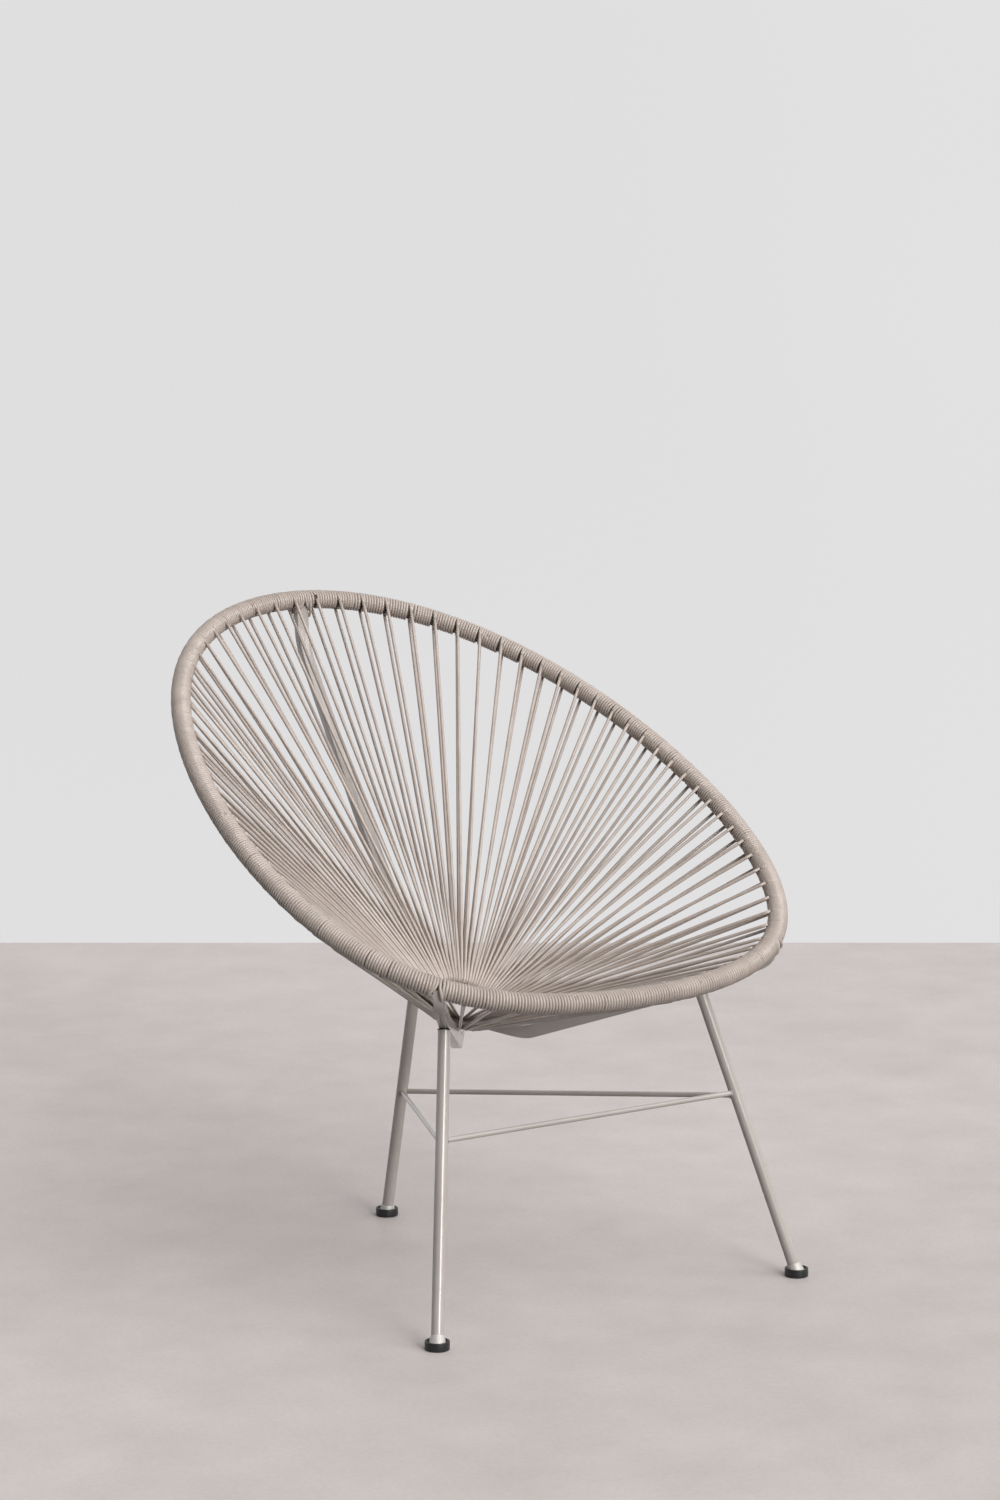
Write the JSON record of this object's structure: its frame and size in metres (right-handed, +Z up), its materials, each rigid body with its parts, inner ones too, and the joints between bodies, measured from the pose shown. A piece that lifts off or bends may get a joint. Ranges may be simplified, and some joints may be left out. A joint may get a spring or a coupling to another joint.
{
  "type": "acapulco chair",
  "caption": "Egg-shaped lounge chair: a cord-wound tilted rim, a net of radial cords down to a small seat ring, and a light three-legged steel base.",
  "frame": {"origin": "on the floor, under the middle of the chair's box", "axes": "+Z up, -Y towards the front, where the sitter's legs go, and +X to the right as seen from the front"},
  "size_m": [0.7766, 0.834, 0.8618],
  "materials": {
    "cord": "satin taupe cord",
    "frame_paint": "satin taupe paint",
    "foot_cup": "matt",
    "foot_collar": "satin",
    "spacer": "matt"
  },
  "bodies": {
    "root": {"rim_tube": "frame_paint", "seat_ring": "frame_paint", "back_spine": "frame_paint", "front_arm_left": "frame_paint", "front_arm_right": "frame_paint", "rim_winding_01": "cord", "rim_winding_02": "cord", "rim_winding_03": "cord", "rim_winding_04": "cord", "rim_winding_05": "cord", "rim_winding_06": "cord", "rim_winding_07": "cord", "rim_winding_08": "cord", "rim_winding_09": "cord", "rim_winding_10": "cord", "rim_winding_11": "cord", "rim_winding_12": "cord", "rim_winding_13": "cord", "rim_winding_14": "cord", "net_01": "cord", "net_02": "cord", "net_03": "cord", "net_04": "cord", "net_05": "cord", "net_06": "cord", "net_07": "cord", "net_08": "cord", "net_09": "cord", "net_10": "cord", "net_11": "cord", "net_12": "cord", "net_13": "cord", "net_14": "cord", "net_15": "cord", "net_16": "cord", "net_17": "cord", "net_18": "cord", "net_19": "cord", "net_20": "cord", "net_21": "cord", "net_22": "cord", "net_23": "cord", "net_24": "cord", "net_25": "cord", "net_26": "cord", "leg_front_left": "frame_paint", "leg_spacer_front_left": "spacer", "foot_collar_front_left": "foot_collar", "foot_cup_front_left": "foot_cup", "leg_front_right": "frame_paint", "leg_spacer_front_right": "spacer", "foot_collar_front_right": "foot_collar", "foot_cup_front_right": "foot_cup", "leg_rear": "frame_paint", "leg_spacer_rear": "spacer", "foot_collar_rear": "foot_collar", "foot_cup_rear": "foot_cup", "stretcher_front": "frame_paint", "stretcher_left": "frame_paint", "stretcher_right": "frame_paint"}
  },
  "joints": []
}
